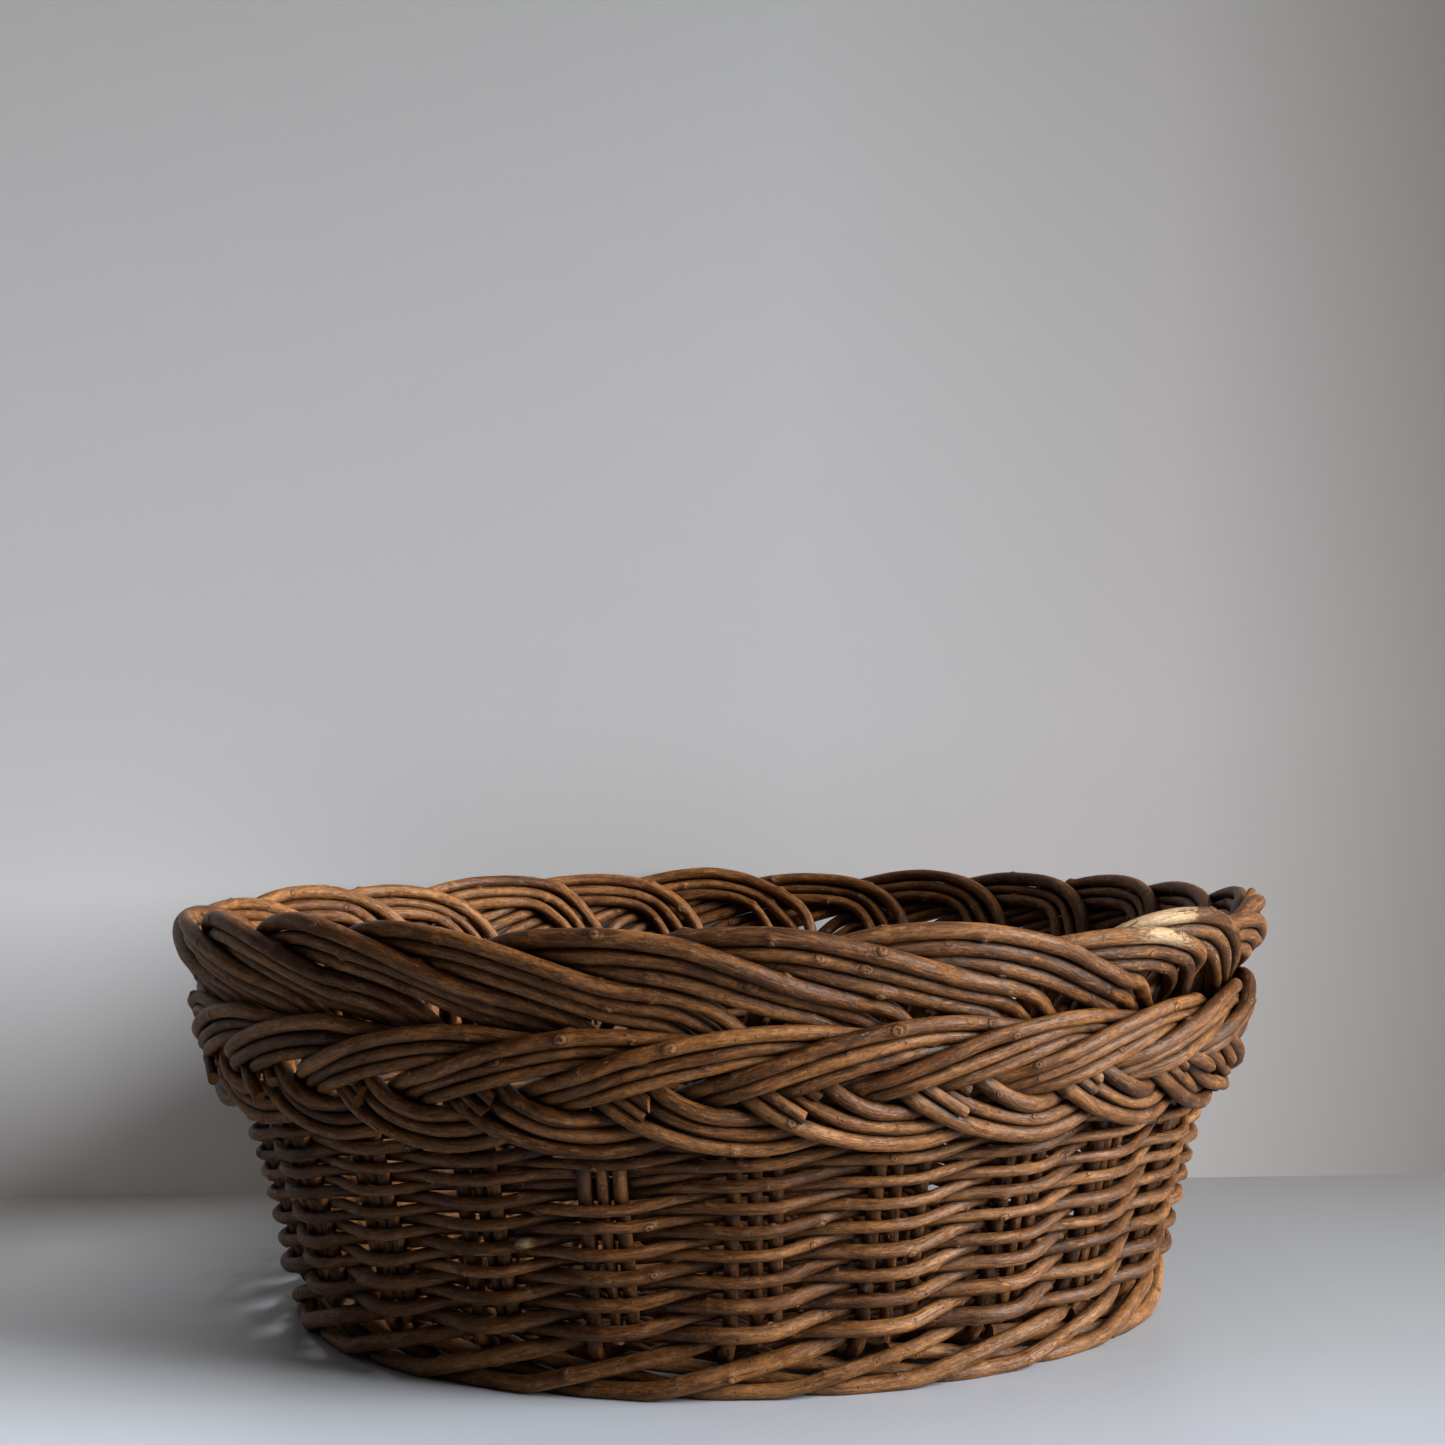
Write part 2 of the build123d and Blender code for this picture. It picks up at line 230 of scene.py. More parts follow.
def strand_marks(route, number, rng):
    """Route of one stake or liner with its own small strays."""
    turn = FIRST_GROUP + number * STEP
    rim = RIM_STRAY.get(number, rng.normal(0.0, GROUP_STRAY))
    wall = WALL_STRAY.get(number, rng.normal(0.0, GROUP_STRAY))
    lift = RIM_LIFT.get(number, rng.normal(RIM_LIFT_MEAN, RIM_LIFT_SPREAD))
    middle, late = rng.normal(0.0, LATER_STRAY, 2)
    strays = [wall, wall, rim, rim, middle, late, 0.0]
    marks = []
    for angle, z, depth in route:
        stray = np.interp(angle, [-4.0, 0.5, 5.0, 30.0, 45.0, 75.0, 100.0], strays)
        if number in SHARP_BENDS:
            stray += np.interp(angle, BEND_ANGLES, SHARP_BENDS[number])
        z += lift * np.interp(angle, [0.0, 6.0, 14.0, 26.0, 32.0], [0.0, 1.0, 1.0, 0.3, 0.0])
        if angle < 0.6:
            stray = np.interp(z, [20.0, 100.0, 150.0], [wall * 0.6, wall, 0.5 * (wall + rim)])
        marks.append((turn + angle + stray, stake_radius(z) + depth, z))
    return marks


def slimmed(points):
    """Draws the wall in a little below the rim."""
    points = points.copy()
    points[:, :2] *= np.interp(points[:, 2], SLIM_HEIGHTS, SLIM_SCALES)[:, None]
    return points


def path_lengths(points):
    """Distance along the route at every point."""
    steps = np.linalg.norm(np.diff(points, axis=0), axis=1)
    return np.concatenate([[0.0], np.cumsum(steps)])


def at_lengths(points, lengths, wanted):
    return np.stack([np.interp(wanted, lengths, points[:, axis]) for axis in range(3)], axis=1)


def resample(points, spacing):
    lengths = path_lengths(points)
    return at_lengths(points, lengths, np.linspace(0.0, lengths[-1], int(lengths[-1] / spacing) + 1))


def soften(points, passes):
    points = points.copy()
    for _ in range(passes):
        points[1:-1] = 0.5 * points[1:-1] + 0.25 * (points[:-2] + points[2:])
    return points


def wander(rng, count, spacing, wavelength):
    """Smooth random walk of unit size along a rod."""
    knots = max(4, int(count * spacing / wavelength) + 3)
    values = rng.normal(0.0, 1.0, knots)
    return np.interp(np.linspace(0, knots - 1, count), np.arange(knots), values)


def angle_past_group(points, number):
    """Degrees past a group's own angle, from -60 to 300."""
    angle = np.degrees(np.arctan2(points[:, 0], -points[:, 1])) - FIRST_GROUP - number * STEP
    return (angle + 60.0) % 360.0 - 60.0


# ---- rods that touch -------------------------------------------------------------
def rod_numbers(rods):
    """For all points of all rods: the rod's number and the place along it."""
    rod_of = np.concatenate([np.full(len(rod), n) for n, rod in enumerate(rods)])
    place = np.concatenate([np.arange(len(rod)) for rod in rods])
    return rod_of, place


def find_pairs(points, rod_of, place):
    """Pairs of nearby points that aren't neighbours on one rod."""
    tree = KDTree(len(points))
    for n, point in enumerate(points):
        tree.insert(point, n)
    tree.balance()
    first, second = [], []
    for n, point in enumerate(points):
        for _, other, _ in tree.find_range(point, PAIR_RANGE):
            if other > n:
                first.append(n)
                second.append(other)
    first, second = np.array(first), np.array(second)
    apart = (rod_of[first] != rod_of[second]) | (np.abs(place[first] - place[second]) > PAIR_SKIP)
    return first[apart], second[apart]


def pushes(points, width, first, second):
    """How far each point is pushed away from the rods that it bites into."""
    away = points[first] - points[second]
    gap = np.linalg.norm(away, axis=1) + 1e-9
    bite = np.maximum(0.0, (width[first] + width[second]) / 2 - gap)
    move = away / gap[:, None] * (PUSH_SHARE * bite ** 3)[:, None]
    total = len(points)
    push = np.zeros_like(points)
    for axis in range(3):
        push[:, axis] += np.bincount(first, move[:, axis], total)
        push[:, axis] -= np.bincount(second, move[:, axis], total)
    weight = np.bincount(first, bite ** 2, total) + np.bincount(second, bite ** 2, total)
    return push / np.maximum(weight, 1e-9)[:, None]


def spread_out(shift, passes):
    """Spreads shifts along a rod, with free ends."""
    for _ in range(passes):
        inner = 0.5 * shift[1:-1] + 0.25 * (shift[:-2] + shift[2:])
        head, tail = (shift[0] + shift[1]) / 2, (shift[-1] + shift[-2]) / 2
        shift = np.concatenate([[head], inner, [tail]])
    return shift


def settle(rods, thick, rounds, refresh=15):
    """Push all rods apart until they only touch."""
    start = [rod.copy() for rod in rods]
    rods = [rod.copy() for rod in rods]
    rod_of, place = rod_numbers(rods)
    width = np.concatenate(thick)
    ends = np.cumsum([len(rod) for rod in rods])[:-1]
    for count in range(rounds):
        points = np.concatenate(rods)
        if count % refresh == 0:
            first, second = find_pairs(points, rod_of, place)
        for n, push in enumerate(np.split(pushes(points, width, first, second), ends)):
            rods[n] = start[n] + spread_out(rods[n] - start[n] + push, 4)
    return rods


def draw_against(rods, thick, lower, upper, number, held_angles, limit):
    """Draw a rod against the one above it over a stretch of its route."""
    points = rods[lower]
    away = rods[upper][None, :, :] - points[:, None, :]
    gap = np.linalg.norm(away, axis=2)
    nearest = gap.argmin(axis=1)
    rows = np.arange(len(points))
    reach = gap[rows, nearest]
    slack = reach - (thick[lower] + thick[upper][nearest]) / 2 - DRAW_CLEARANCE
    held = np.interp(angle_past_group(points, number), held_angles, [0.0, 1.0, 1.0, 0.0])
    held *= (points[:, 2] > DRAW_FLOOR) & (slack < 2.5 * limit)
    shift = away[rows, nearest] / reach[:, None] * (np.clip(slack, 0.0, limit) * held)[:, None]
    rods[lower] = points + soften(shift, 6)


def close_up(rods, thick):
    """Bring the strands of the upper border into touch with each other."""
    for number in range(GROUPS):
        next_inner = 3 * ((number + 1) % GROUPS) + 2
        draw_against(rods, thick, 3 * number, next_inner, number, MAIN_HOLD, MAIN_DRAW)
    for number in range(GROUPS):
        main, middle, inner = 3 * number, 3 * number + 1, 3 * number + 2
        draw_against(rods, thick, middle, main, number, MIDDLE_HOLD, LINER_DRAW)
        draw_against(rods, thick, inner, middle, number, INNER_HOLD, LINER_DRAW)
    return rods


def frames(points):
    """Tangent and two side directions at every point, without twist."""
    tangent = np.gradient(points, axis=0)
    tangent /= np.linalg.norm(tangent, axis=1)[:, None]
    side = np.zeros_like(points)
    seed = np.array([0.0, 0.0, 1.0]) if abs(tangent[0][2]) < 0.9 else np.array([1.0, 0.0, 0.0])
    current = seed - tangent[0] * (seed @ tangent[0])
    for n in range(len(points)):
        current = current - tangent[n] * (current @ tangent[n])
        current = current / np.linalg.norm(current)
        side[n] = current
    return tangent, side, np.cross(tangent, side)


def contact_maps(rods, thick):
    """How close other rods come, for every point of a rod and every direction round it; the painted shade
    between rods is made from this.
    """
    rod_of, place = rod_numbers(rods)
    points, width = np.concatenate(rods), np.concatenate(thick)
    side = np.concatenate([frames(rod)[1] for rod in rods])
    up = np.concatenate([frames(rod)[2] for rod in rods])
    first, second = find_pairs(points, rod_of, place)
    first, second = np.concatenate([first, second]), np.concatenate([second, first])
    away = points[second] - points[first]
    gap = np.linalg.norm(away, axis=1) - (width[first] + width[second]) / 2
    near = np.clip(1.0 - gap / CONTACT_REACH, 0.0, 1.0)
    close = near > 0
    first, away, near = first[close], away[close], near[close]
    angle = np.arctan2((away * up[first]).sum(axis=1), (away * side[first]).sum(axis=1))
    maps = np.zeros((len(points), CONTACT_BINS))
    for k in range(CONTACT_BINS):
        turn = np.angle(np.exp(1j * (angle - 2 * math.pi * k / CONTACT_BINS)))
        np.maximum.at(maps[:, k], first, near * np.exp(-(turn / CONTACT_SPREAD) ** 2))
    return np.split(maps, np.cumsum([len(rod) for rod in rods])[:-1])


# ---- geometry of the rods ---------------------------------------------------
def uneven_section(turn, along, rng):
    """A slightly oval and lobed section, as a factor round the rod."""
    oval = OVAL * np.sin(2 * turn + rng.uniform(0, 6))
    lobes = LOBES * np.sin(3 * turn + along[:, None] * LOBE_TWIST)
    return 1 + oval + lobes


def bud_spots(rng, length):
    """Bud scars as (distance along, direction, size), winding round the rod."""
    position = rng.uniform(FIRST_BUD, BUD_GAPS[0])
    angle = rng.uniform(0, 2 * math.pi)
    spots = []
    while position < length - BUD_END_MARGIN:
        size = BUD_SMALLEST + BUD_SPREAD * rng.uniform(0.0, 1.0) ** BUD_RARITY
        spots.append((position, angle, size))
        position += rng.uniform(*BUD_GAPS)
        angle += BUD_TURN + rng.uniform(-BUD_TURN_STRAY, BUD_TURN_STRAY)
    return spots


def add_knots(body, radius, along, turn, spots):
    """Raise a bump at every knot; returns the knot cones and the bare broken knots."""
    knot = np.zeros_like(body)
    bare = np.zeros_like(body)
    for position, angle, size in spots:
        d_along = along[:, None] - position
        d_turn = np.angle(np.exp(1j * (turn - angle)))
        spread = np.hypot(d_along / (1.25 * size), d_turn * radius[:, None] / (0.95 * size))
        bump = np.exp(-(d_along / (KNOT_BUMP_LENGTH * size)) ** 2 - (d_turn / KNOT_BUMP_TURN) ** 2)
        body += KNOT_BUMP * size * bump
        body += NODE_BUMP * size * np.exp(-(d_along / NODE_BUMP_LENGTH) ** 2)
        knot = np.maximum(knot, 1.0 - spread / KNOT_REACH)
        if size > BROKEN_KNOT:
            bare = np.maximum(bare, np.exp(-(spread / 2.0) ** 2))
    return knot, bare


def slant_ends(rings, tangent, radius, phi, rng):
    """Tilt both cut ends."""
    for end, sign in ((0, -1.0), (-1, 1.0)):
        slant = rng.uniform(*CUT_SLANT) * radius[end]
        rings[end] += sign * tangent[end] * (slant * np.cos(phi - rng.uniform(0, 6)))[:, None]


def skin(rings):
    """Vertices, side quads and end triangles of a closed tube."""
    count, sides = rings.shape[:2]
    row = np.arange(count - 1)[:, None] * sides
    here = np.arange(sides)[None, :]
    after = (here + 1) % sides
    quads = np.stack([row + here, row + after, row + sides + after, row + sides + here], axis=-1)
    ends = rings[[0, -1]]
    first_cap = count * sides
    last_cap = first_cap + sides
    middle = last_cap + sides
    tris = []
    for n in range(sides):
        following = (n + 1) % sides
        tris.append((first_cap + n, middle, first_cap + following))
        tris.append((last_cap + n, last_cap + following, middle + 1))
    verts = np.concatenate([rings.reshape(-1, 3), ends.reshape(-1, 3), ends.mean(axis=1)])
    return verts, quads.reshape(-1, 4), np.array(tris)


def contact_shade_round(contact, rows, phi):
    """Contact values at the given rows of a rod and directions round it, for the painted shade between rods.
    """
    bins = contact.shape[1]
    low = np.minimum(rows.astype(int), len(contact) - 2)
    part = (rows - low)[:, None]
    smooth = contact[low] * (1 - part) + contact[low + 1] * part
    column = phi / (2 * math.pi) * bins
    left = column.astype(int) % bins
    share = (column - column.astype(int))[None, :]
    return smooth[:, left] * (1 - share) + smooth[:, (left + 1) % bins] * share


def with_caps(values, at_caps):
    """Values of all ring points, then one value for all points of the two end caps."""
    sides = values.shape[1]
    return np.concatenate([values.ravel(), np.full(2 * sides + 2, at_caps)])


def rod_mesh(points, width, rng, sides=ROD_SIDES, ring=RING_STEP, tone=None, contact=None,
             worn=None, extra=()):
    """Vertices, faces and shading values of one rod, in millimetres."""
    lengths = path_lengths(points)
    count = max(8, int(lengths[-1] / ring))
    along = np.linspace(0.0, lengths[-1], count)
    centre = soften(at_lengths(points, lengths, along), 4)
    radius = np.interp(along, lengths, width) / 2
    radius *= 1 + THICKNESS_DRIFT * wander(rng, count, ring, THICKNESS_WAVE)
    tangent, side, up = frames(centre)
    phi = np.arange(sides) / sides * 2 * math.pi
    turn = phi[None, :] + np.zeros((count, 1))
    body = radius[:, None] * uneven_section(turn, along, rng)
    knot, bare = add_knots(body, radius, along, turn, bud_spots(rng, along[-1]) + list(extra))
    outward = np.cos(turn)[..., None] * side[:, None, :] + np.sin(turn)[..., None] * up[:, None, :]
    rings = centre[:, None, :] + body[..., None] * outward
    slant_ends(rings, tangent, radius, phi, rng)
    rings[..., 2] = np.maximum(rings[..., 2], FLOOR_CLEARANCE)
    verts, quads, tris = skin(rings)
    offset = rng.uniform(0, TEXTURE_OFFSET)
    grain = [body * np.cos(turn), body * np.sin(turn), along[:, None] + offset + 0 * turn]
    if tone is None:
        tone = np.full(len(points), rng.uniform(0, 1))
    # Painted shade: the bark is darkened where other rods come close.
    contact_shade = np.zeros_like(body)
    if contact is not None:
        contact_shade = contact_shade_round(contact, np.interp(along, lengths, np.arange(len(points))), phi)
    if worn is not None:
        bare += np.interp(along, lengths, worn)[:, None]
    return {
        "verts": verts,
        "quads": quads,
        "tris": tris,
        "grain": np.stack([with_caps(part, cap) for part, cap in zip(grain, (0.0, 0.0, offset))], axis=1),
        "cut": with_caps(np.zeros_like(body), 1.0),
        "contact_shade": with_caps(contact_shade, 0.0),
        "bare": with_caps(bare, 0.0),
        "knot": with_caps(knot, 0.0),
        "tone": with_caps(np.interp(along, lengths, tone)[:, None] + 0 * body, 0.5),
    }


def faces_of(rods):
    """Corner indices, first corners and corner counts of all faces of several rods."""
    loops, starts, totals = [], [], []
    first_vertex, first_corner = 0, 0
    for rod in rods:
        for faces in (rod["quads"], rod["tris"]):
            corners = faces.shape[1]
            loops.append((faces + first_vertex).ravel())
            starts.append(first_corner + np.arange(len(faces)) * corners)
            totals.append(np.full(len(faces), corners))
            first_corner += faces.size
        first_vertex += len(rod["verts"])
    return [np.concatenate(part).astype(np.int32) for part in (loops, starts, totals)]


def build_piece(name, node, material, rods):
    """One object from its rods, replacing its CAD node."""
    verts = np.concatenate([rod["verts"] for rod in rods]) * MM
    loops, starts, totals = faces_of(rods)
    mesh = bpy.data.meshes.new(name)
    mesh.vertices.add(len(verts))
    mesh.vertices.foreach_set("co", verts.ravel())
    mesh.loops.add(len(loops))
    mesh.loops.foreach_set("vertex_index", loops)
    mesh.polygons.add(len(starts))
    mesh.polygons.foreach_set("loop_start", starts)
    mesh.polygons.foreach_set("loop_total", totals)
    mesh.update(calc_edges=True)
    mesh.validate()
    for key in ("grain", "cut", "knot", "tone", "contact_shade", "bare"):
        kind, field = ("FLOAT_VECTOR", "vector") if key == "grain" else ("FLOAT", "value")
        data = np.concatenate([rod[key] for rod in rods]).astype(np.float32)
        mesh.attributes.new(key, kind, "POINT").data.foreach_set(field, data.ravel())
    mesh.polygons.foreach_set("use_smooth", np.ones(len(mesh.polygons), dtype=bool))
    mesh.materials.append(material)
    piece = bpy.data.objects.new(name, mesh)
    bpy.context.scene.collection.objects.link(piece)
    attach(piece, "root")
    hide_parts(node)


# ---- bark ---------------------------------------------------------------------
# Shades of the bark from its cracks to its flakes.
BORDER_SHADES = {
    "dark": (0.036, 0.0120, 0.0027), "middle": (0.116, 0.0470, 0.0118),
    "light": (0.275, 0.134, 0.047), "pale": (0.48, 0.295, 0.125),
}
WALL_SHADES = {
    "dark": (0.034, 0.0120, 0.0029), "middle": (0.112, 0.0470, 0.0128),
    "light": (0.250, 0.126, 0.047), "pale": (0.44, 0.275, 0.122),
}
FINE_DARK, FINE_LIGHT = (0.50, 0.455, 0.41), (1.36, 1.335, 1.32)
OCHRE_TINT = (1.15, 1.05, 0.75)
BARE_DARK, BARE_LIGHT = (0.27, 0.185, 0.100), (0.52, 0.385, 0.235)
# The last factor sets how dark the painted shade between touching rods is.
CRACK_SHADE, LENTICEL_SHADE, CONTACT_SHADE_DARKNESS = 0.45, 0.35, 0.12

# Noise layers: scale across and along the rod, detail, roughness, distortion.
NOISES = {
    "streak": (0.55, 0.035, 5.0, 0.65, 0.0),
    "patch": (0.10, 0.016, 4.0, 0.6, 0.0),
    "fine": (1.7, 0.40, 6.0, 0.75, 0.0),
    "mottle": (0.42, 0.13, 6.0, 0.72, 0.0),
    "ochre": (0.17, 0.045, 8.0, 0.78, 0.6),
    "flakes": (0.5, 0.16, 6.0, 0.78, 0.0),
    "cracks": (1.3, 0.05, 3.0, 0.5, 0.0),
    "lenticels": (0.55, 1.15, 2.0, 0.45, 0.0),
    "knot_edge": (0.8, 0.8, 4.0, 0.7, 0.0),
    "rub": (0.42, 0.11, 8.0, 0.8, 0.0),
    "wrinkles": (1.3, 0.05, 5.0, 0.6, 0.0),
    "pits": (1.1, 0.5, 4.0, 0.65, 0.0),
}
# How strongly each layer tints the bark, and how far it rises (or sinks).
TINTS = {
    "ochre": 0.50, "flakes": 0.42, "cracks": 0.60, "lenticels": 0.75, "moat": 0.50, "ring": 0.38,
    # The last entry is the painted shade between touching rods.
    "eye": 0.70, "rub": 0.78, "cut": 0.35, "between_rods_shade": 0.95,
}
RELIEF = {
    "flakes": 0.15, "ochre": 0.18, "cracks": -0.25, "lenticels": -0.2, "rub": -0.2, "ring": 0.7,
    "eye": -0.6, "moat": -0.25,
}
BUMP_STRENGTH, BUMP_DISTANCE = 0.75, 0.0008
BARK_GLOSS, BARK_ROUGHNESS = 0.34, (0.30, 0.58)


def shaded(colour, factor):
    return tuple(factor * part for part in colour)


class Shading:
    """Short ways to add linked nodes to a new material."""

    def __init__(self, name):
        self.material = bpy.data.materials.new(name)
        self.material.use_nodes = True
        self.tree = self.material.node_tree
        self.link = self.tree.links.new
        self.shader = self.tree.nodes["Principled BSDF"]

    def add(self, kind):
        return self.tree.nodes.new(kind)

    def feed(self, socket, value):
        """Link an output, or set a number or a colour."""
        if isinstance(value, bpy.types.NodeSocket):
            self.link(value, socket)
        elif isinstance(value, tuple) and len(socket.default_value) == 4:
            socket.default_value = (*value, 1.0)
        else:
            socket.default_value = value

    def attribute(self, name, output="Fac"):
        node = self.add("ShaderNodeAttribute")
        node.attribute_name = name
        return node.outputs[output]

    def noise(self, grain, across, along, detail, rough, distortion):
        mapping = self.add("ShaderNodeMapping")
        mapping.inputs["Scale"].default_value = (across, across, along)
        self.link(grain, mapping.inputs["Vector"])
        texture = self.add("ShaderNodeTexNoise")
        texture.inputs["Scale"].default_value = 1.0
        texture.inputs["Detail"].default_value = detail
        texture.inputs["Roughness"].default_value = rough
        texture.inputs["Distortion"].default_value = distortion
        self.link(mapping.outputs["Vector"], texture.inputs["Vector"])
        return texture.outputs["Fac"]

    def calculate(self, operation, *values, clamp=False):
        node = self.add("ShaderNodeMath")
        node.operation = operation
        node.use_clamp = clamp
        for socket, value in zip(node.inputs, values):
            self.feed(socket, value)
        return node.outputs[0]

    def vector(self, operation, *values):
        node = self.add("ShaderNodeVectorMath")
        node.operation = operation
        for socket, value in zip(node.inputs, values):
            self.feed(socket, value)
        return node

    def mix(self, factor, first, second, blend="MIX"):
        node = self.add("ShaderNodeMix")
        node.data_type = "RGBA"
        node.blend_type = blend
        for socket, value in zip((node.inputs[0], node.inputs[6], node.inputs[7]), (factor, first, second)):
            self.feed(socket, value)
        return node.outputs[2]

    def mapped(self, value, **limits):
        """Map Range; limits are from_min, from_max, to_min and to_max."""
        node = self.add("ShaderNodeMapRange")
        for key, limit in limits.items():
            node.inputs[key.replace("_", " ").title()].default_value = limit
        self.link(value, node.inputs["Value"])
        return node.outputs["Result"]

    def stretched(self, value, low, high):
        return self.mapped(value, from_min=low, from_max=high)

    def ramp(self, value, stops):
        node = self.add("ShaderNodeValToRGB")
        elements = node.color_ramp.elements
        while len(elements) < len(stops):
            elements.new(1.0)
        for element, (position, colour) in zip(elements, stops):
            element.position = position
            element.color = (*colour, 1.0)
        self.link(value, node.inputs["Fac"])
        return node.outputs["Color"]


def bark_layers(bark):
    """All masks of the bark, by name, from the noises and the rods' own values."""
    grain = bark.attribute("grain", "Vector")
    noise = {name: bark.noise(grain, *settings) for name, settings in NOISES.items()}
    layers = {
        "streak": noise["streak"],
        "patch": noise["patch"],
        "wrinkles": noise["wrinkles"],
        "pits": noise["pits"],
        "fine": bark.stretched(noise["fine"], 0.37, 0.63),
        "mottle": bark.stretched(noise["mottle"], 0.36, 0.64),
        "ochre": bark.stretched(noise["ochre"], 0.53, 0.59),
        "flakes": bark.stretched(noise["flakes"], 0.60, 0.66),
        "cracks": bark.stretched(noise["cracks"], 0.61, 0.70),
        "lenticels": bark.stretched(noise["lenticels"], 0.67, 0.715),
        "cut": bark.attribute("cut"),
        # Painted shade between rods, from the contact values.
        "between_rods_shade": bark.calculate("POWER", bark.attribute("contact_shade"), 0.95, clamp=True),
    }
    lowered = bark.calculate("ADD", bark.attribute("knot"), -0.30)
    cone = bark.calculate("MULTIPLY_ADD", noise["knot_edge"], 0.6, lowered)
    layers["eye"] = bark.stretched(cone, 0.74, 0.86)
    layers["ring"] = bark.calculate(
        "SUBTRACT", bark.stretched(cone, 0.46, 0.60), bark.stretched(cone, 0.70, 0.80))
    layers["moat"] = bark.calculate(
        "SUBTRACT", bark.stretched(cone, 0.26, 0.40), bark.stretched(cone, 0.44, 0.56))
    worn = bark.calculate("MULTIPLY_ADD", bark.attribute("bare"), 0.62, -0.95)
    layers["rub"] = bark.stretched(bark.calculate("MULTIPLY_ADD", noise["rub"], 1.7, worn), 0.36, 0.42)
    return layers


def bark_colour(bark, layers, shades):
    """Bark from dark to light, then tinted layer by layer."""
    broad = bark.calculate("MULTIPLY", bark.stretched(layers["patch"], 0.3, 0.7), 0.30)
    blend = bark.calculate("MULTIPLY_ADD", bark.stretched(layers["streak"], 0.3, 0.7), 0.30, broad)
    blend = bark.calculate("MULTIPLY_ADD", layers["mottle"], 0.26, blend)
    own_tone = bark.calculate("MULTIPLY_ADD", bark.attribute("tone"), 0.28, -0.07)
    blend = bark.calculate("ADD", blend, own_tone)
    stops = [(0.18, shades["dark"]), (0.5, shades["middle"]), (0.82, shades["light"])]
    speckle = bark.mix(layers["fine"], FINE_DARK, FINE_LIGHT)
    colour = bark.mix(1.0, bark.ramp(blend, stops), speckle, "MULTIPLY")
    ochre = tuple(tint * part for tint, part in zip(OCHRE_TINT, shades["light"]))
    for name, tint in (
        ("ochre", ochre),
        ("flakes", shades["pale"]),
        ("cracks", shaded(shades["dark"], CRACK_SHADE)),
        ("lenticels", shaded(shades["dark"], LENTICEL_SHADE)),
        ("moat", shades["dark"]),
        ("ring", shades["light"]),
        ("eye", shades["dark"]),
        ("rub", bark.mix(layers["fine"], BARE_DARK, BARE_LIGHT)),
        ("cut", shades["light"]),
        # Painted shade where rods touch.
        ("between_rods_shade", shaded(shades["dark"], CONTACT_SHADE_DARKNESS)),
    ):
        share = bark.calculate("MULTIPLY", layers[name], TINTS[name], clamp=True)
        colour = bark.mix(share, colour, tint)
    return colour


def bark_relief(bark, layers):
    """Wrinkles and pits with the raised and sunken layers, as a bumped normal."""
    wrinkles = bark.calculate("MULTIPLY", layers["wrinkles"], 0.5)
    height = bark.calculate("MULTIPLY_ADD", layers["pits"], 0.5, wrinkles)
    for name, gain in RELIEF.items():
        height = bark.calculate("MULTIPLY_ADD", layers[name], gain, height)
    bump = bark.add("ShaderNodeBump")
    bump.inputs["Strength"].default_value = BUMP_STRENGTH
    bump.inputs["Distance"].default_value = BUMP_DISTANCE
    bark.link(height, bump.inputs["Height"])
    return bump.outputs["Normal"]


def bark_material(name, shades):
    bark = Shading(name)
    layers = bark_layers(bark)
    smooth, rough = BARK_ROUGHNESS
    bark.shader.inputs["Specular IOR Level"].default_value = BARK_GLOSS
    bark.link(bark_colour(bark, layers, shades), bark.shader.inputs["Base Color"])
    bark.link(bark.mapped(layers["streak"], to_min=smooth, to_max=rough), bark.shader.inputs["Roughness"])
    bark.link(bark_relief(bark, layers), bark.shader.inputs["Normal"])
    return bark.material


# ---- the basket ----------------------------------------------------------------
def stake_points(route, number, strays, rng):
    """Path of one stake or liner; all three of a group stray and sway together."""
    marks = strand_marks(route, number, np.random.RandomState(strays))
    points = soften(resample(slimmed(cylinder_points(marks)), POINT_STEP), 8)
    sway = np.random.RandomState(strays)
    sway_out, sway_up = sway.normal(0.0, 1.0, SWAY_KNOTS), sway.normal(0.0, 1.0, SWAY_KNOTS)
    loose = np.clip((points[:, 2] - 90) / 30, 0, 1)
    outward = points[:, :2] / np.linalg.norm(points[:, :2], axis=1)[:, None]
    knots = np.arange(SWAY_KNOTS)
    shared = np.linspace(0, SWAY_KNOTS - 1, len(points))
    points[:, :2] += outward * (SWAY_OUT * loose * np.interp(shared, knots, sway_out))[:, None]
    points[:, 2] += SWAY_UP * loose * np.interp(shared, knots, sway_up)
    points[:, 2] += SWAY_OWN * loose * wander(rng, len(points), POINT_STEP, 60.0)
    return points


def side_and_border():
    """Paths, widths and owners (kind, group) of all rods of the wall and the border."""
    rng = np.random.RandomState(SEED)
    rods, thick, owner = [], [], []
    for number in range(GROUPS):
        strays = rng.randint(1 << 30)
        for kind, route, widths in STAKE_KINDS:
            scale = rng.uniform(*STAKE_SCALE)
            points = stake_points(route, number, strays, rng)
            part = np.linspace(0, 1, len(points))
            rods.append(points)
            thick.append(np.interp(part, STAKE_WIDTH_AT, widths) * scale)
            owner.append((kind, number))
    for number in range(GROUPS):
        points = soften(resample(slimmed(cylinder_points(weaver_marks(number))), POINT_STEP), 3)
        part = np.linspace(0, 1, len(points))
        thick.append(np.interp(part, WEAVER_WIDTH_AT, WEAVER_WIDTHS) * rng.uniform(*WEAVER_SCALE))
        free = np.clip(points[:, 2] / 30 - 0.4, 0, 1)
        points[:, 2] += WEAVER_SWAY * free * wander(rng, len(points), POINT_STEP, 45.0)
        rods.append(points)
        owner.append(("weaver", number))
    rods = settle(close_up(rods, thick), thick, SETTLE_ROUNDS)
    return settle(close_up(rods, thick), thick, SETTLE_AGAIN), thick, owner


